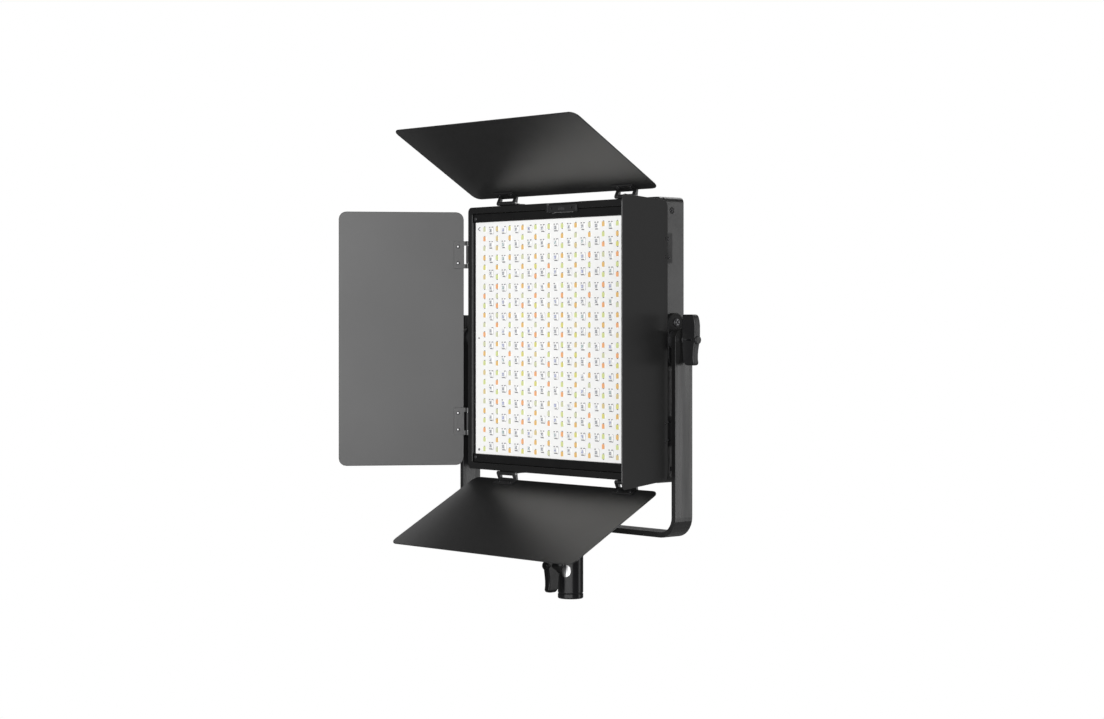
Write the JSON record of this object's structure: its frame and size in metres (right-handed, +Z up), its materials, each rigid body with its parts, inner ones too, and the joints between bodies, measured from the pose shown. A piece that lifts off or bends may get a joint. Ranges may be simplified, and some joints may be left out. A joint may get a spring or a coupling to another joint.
{
  "type": "led panel light",
  "caption": "Square LED panel light with four folding barn doors, a U-shaped tilting yoke and a clamp socket for a light stand.",
  "frame": {"origin": "centre of the stand socket's mouth, where the light stand's spigot enters the adapter", "axes": "+Z up along the stand adapter and the pan axis; the light shines towards -Y; +X is to the right seen from in front of the light with -Y towards the viewer"},
  "size_m": [0.4365, 0.1826, 0.475],
  "materials": {
    "head_paint": "satin black powder coat on aluminium",
    "head_plastic": "fine-grained black plastic",
    "yoke_paint": "satin black paint on a brushed aluminium bar",
    "leaf_paint": "satin black paint on thin aluminium sheet",
    "black_metal": "black-coated pressed steel",
    "black_aluminium": "gloss black anodised",
    "bare_aluminium": "bare extruded",
    "black_plastic": "satin moulded black plastic",
    "rail_plastic": "black plastic",
    "grey_plastic": "grey plastic",
    "bright_steel": "bright plated",
    "dark_steel": "black oxide",
    "white_board": "white solder mask",
    "green_board": "green solder mask",
    "screen_glass": "gloss dark window"
  },
  "bodies": {
    "stand": {"stand_adapter": "black_aluminium", "socket_liner": "bright_steel", "yoke_bolt": "dark_steel", "yoke_washer": "black_plastic"},
    "clamp": {"clamp_knob": "black_plastic", "clamp_screw": "dark_steel"},
    "yoke": {"yoke": "yoke_paint"},
    "head": {"front_bezel": "head_paint", "rear_housing": "head_paint", "led_board": "white_board", "heat_sink": "bare_aluminium", "diffuser_rail_top": "rail_plastic", "diffuser_rail_bottom": "rail_plastic", "driver_board": "green_board", "rear_cover": "head_plastic", "lcd_window": "screen_glass", "power_socket": "black_plastic", "battery_plate": "black_plastic", "pivot_plate_right": "black_plastic", "tilt_stud_right": "dark_steel", "tilt_spacer_right": "black_plastic", "pivot_plate_left": "black_plastic", "tilt_stud_left": "dark_steel", "tilt_spacer_left": "black_plastic", "hinge_base_right_1": "black_metal", "hinge_pin_right_1": "bright_steel", "hinge_base_right_2": "black_metal", "hinge_pin_right_2": "bright_steel", "hinge_base_left_1": "black_metal", "hinge_pin_left_1": "bright_steel", "hinge_base_left_2": "black_metal", "hinge_pin_left_2": "bright_steel", "hinge_base_top_1": "black_metal", "hinge_pin_top_1": "bright_steel", "hinge_base_top_2": "black_metal", "hinge_pin_top_2": "bright_steel", "hinge_base_bottom_1": "black_metal", "hinge_pin_bottom_1": "bright_steel", "hinge_base_bottom_2": "black_metal", "hinge_pin_bottom_2": "bright_steel"},
    "tilt_knob_right": {"tilt_knob_right": "black_plastic"},
    "tilt_knob_left": {"tilt_knob_left": "black_plastic"},
    "leaf_right": {"leaf_right": "leaf_paint", "leaf_bracket_right_1": "black_metal", "leaf_bracket_right_2": "black_metal"},
    "leaf_left": {"leaf_left": "leaf_paint", "leaf_bracket_left_1": "black_metal", "leaf_bracket_left_2": "black_metal"},
    "leaf_top": {"leaf_top": "leaf_paint", "leaf_bracket_top_1": "black_metal", "leaf_bracket_top_2": "black_metal"},
    "leaf_bottom": {"leaf_bottom": "leaf_paint", "leaf_bracket_bottom_1": "black_metal", "leaf_bracket_bottom_2": "black_metal"},
    "brightness_dial": {"brightness_dial": "black_plastic"},
    "colour_dial": {"colour_dial": "black_plastic"},
    "mode_button": {"mode_button": "grey_plastic"},
    "channel_button": {"channel_button": "grey_plastic"},
    "power_switch": {"power_switch": "black_plastic"},
    "diffuser_latch": {"diffuser_latch": "black_plastic"}
  },
  "joints": [
    {"name": "yoke_pan", "type": "hinge", "parent": "stand", "child": "yoke", "pos_m": [0, 0, 0.07], "axis": [0, 0, 1], "continuous": true},
    {"name": "head_tilt", "type": "hinge", "parent": "yoke", "child": "head", "pos_m": [0, 0, 0.262], "axis": [-1, 0, 0], "range_deg": [-1, 135]},
    {"name": "clamp_turn", "type": "hinge", "parent": "stand", "child": "clamp", "pos_m": [0, 0, 0.035], "axis": [0, -1, 0], "range_deg": [0, 180]},
    {"name": "tilt_lock_right", "type": "hinge", "parent": "head", "child": "tilt_knob_right", "pos_m": [0.161, 0, 0.262], "axis": [1, 0, 0], "range_deg": [0, 180]},
    {"name": "tilt_lock_left", "type": "hinge", "parent": "head", "child": "tilt_knob_left", "pos_m": [-0.161, 0, 0.262], "axis": [-1, 0, 0], "range_deg": [0, 180]},
    {"name": "leaf_right_hinge", "type": "hinge", "parent": "head", "child": "leaf_right", "pos_m": [0.1453, -0.013, 0.262], "axis": [0, 0, 1], "range_deg": [-116.6, 24.4]},
    {"name": "leaf_left_hinge", "type": "hinge", "parent": "head", "child": "leaf_left", "pos_m": [-0.1453, -0.013, 0.262], "axis": [0, 0, -1], "range_deg": [-124, 17]},
    {"name": "leaf_top_hinge", "type": "hinge", "parent": "head", "child": "leaf_top", "pos_m": [0, -0.013, 0.4018], "axis": [-1, 0, 0], "range_deg": [-120.5, 39.1]},
    {"name": "leaf_bottom_hinge", "type": "hinge", "parent": "head", "child": "leaf_bottom", "pos_m": [0, -0.013, 0.1222], "axis": [1, 0, 0], "range_deg": [-118.1, 34.9]},
    {"name": "brightness_turn", "type": "hinge", "parent": "head", "child": "brightness_dial", "pos_m": [-0.055, 0.04, 0.267], "axis": [0, 1, 0], "continuous": true},
    {"name": "colour_turn", "type": "hinge", "parent": "head", "child": "colour_dial", "pos_m": [0.055, 0.04, 0.267], "axis": [0, 1, 0], "continuous": true},
    {"name": "mode_press", "type": "slide", "parent": "head", "child": "mode_button", "axis": [0, -1, 0], "range_m": [0, 0.001], "stiffness_N_per_m": 400, "springref_m": -0.0005},
    {"name": "channel_press", "type": "slide", "parent": "head", "child": "channel_button", "axis": [0, -1, 0], "range_m": [0, 0.001], "stiffness_N_per_m": 400, "springref_m": -0.0005},
    {"name": "power_rock", "type": "hinge", "parent": "head", "child": "power_switch", "pos_m": [0, 0.037, 0.262], "axis": [1, 0, 0], "range_deg": [0, 14]},
    {"name": "latch_slide", "type": "slide", "parent": "head", "child": "diffuser_latch", "axis": [0, 0, 1], "range_m": [0, 0.0022]}
  ]
}
